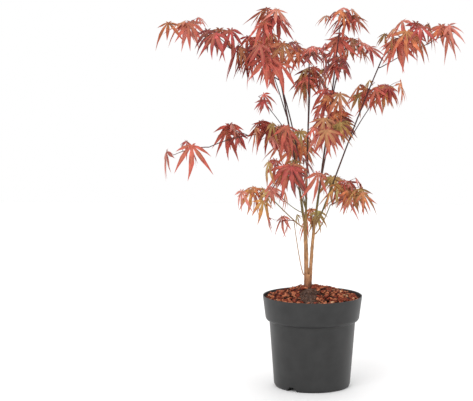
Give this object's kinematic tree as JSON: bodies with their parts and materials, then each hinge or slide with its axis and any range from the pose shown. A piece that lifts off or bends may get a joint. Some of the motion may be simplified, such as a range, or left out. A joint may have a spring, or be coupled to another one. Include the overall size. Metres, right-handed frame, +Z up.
{
  "type": "potted japanese maple",
  "caption": "Young japanese maple with red and bronze palmate leaves on slender upright stems, growing in a round dark plastic nursery pot topped with bark.",
  "frame": {"origin": "middle of the pot's flat underside", "axes": "+Z up along the pot's axis, the front of the plant towards -Y, +X to the right as seen from the front"},
  "size_m": [0.577, 0.3917, 0.7202],
  "materials": {
    "pot": "moulded, satin",
    "compost": "crumbly and matt",
    "bark_mulch": "rough chips",
    "trunk": "smooth young bark",
    "stems": "smooth young bark",
    "foliage": "soft satin leaves"
  },
  "bodies": {
    "root": {"pot": "pot", "compost": "compost", "bark_mulch": "bark_mulch", "trunk": "trunk", "stem_left": "stems", "stem_centre": "stems", "stem_right": "stems", "stem_left_inner": "stems", "stem_far_right": "stems", "bough_left_mid": "stems", "bough_top_left": "stems", "bough_low_left": "stems", "bough_low_right": "stems", "bough_trunk_left": "stems", "bough_trunk_back": "stems", "bough_top_left_front": "stems", "bough_left_near": "stems", "bough_left_small": "stems", "bough_left_between": "stems", "bough_left_low": "stems", "bough_front_low": "stems", "bough_front_mid": "stems", "bough_front_upper": "stems", "bough_front_top": "stems", "bough_centre_back": "stems", "bough_right_mid": "stems", "bough_right_tip": "stems", "bough_top_right_back": "stems", "bough_back_left_top": "stems", "bough_back_left": "stems", "bough_back_mid": "stems", "bough_back_right": "stems", "foliage_top_left_tip": "foliage", "foliage_top_left_front": "foliage", "foliage_left_crown": "foliage", "foliage_top_left": "foliage", "foliage_top_centre": "foliage", "foliage_top_right": "foliage", "foliage_top_right_back": "foliage", "foliage_right_crown": "foliage", "foliage_right_tip": "foliage", "foliage_front_top": "foliage", "foliage_right_mid": "foliage", "foliage_centre_back": "foliage", "foliage_front_upper": "foliage", "foliage_front_mid": "foliage", "foliage_left_near": "foliage", "foliage_left_small": "foliage", "foliage_left_between": "foliage", "foliage_left_tip": "foliage", "foliage_front_low": "foliage", "foliage_left_low": "foliage", "foliage_low_left": "foliage", "foliage_trunk_left": "foliage", "foliage_low_right": "foliage", "foliage_low_back": "foliage", "foliage_back_left_top": "foliage", "foliage_back_left": "foliage", "foliage_back_mid": "foliage", "foliage_back_right": "foliage"}
  },
  "joints": []
}
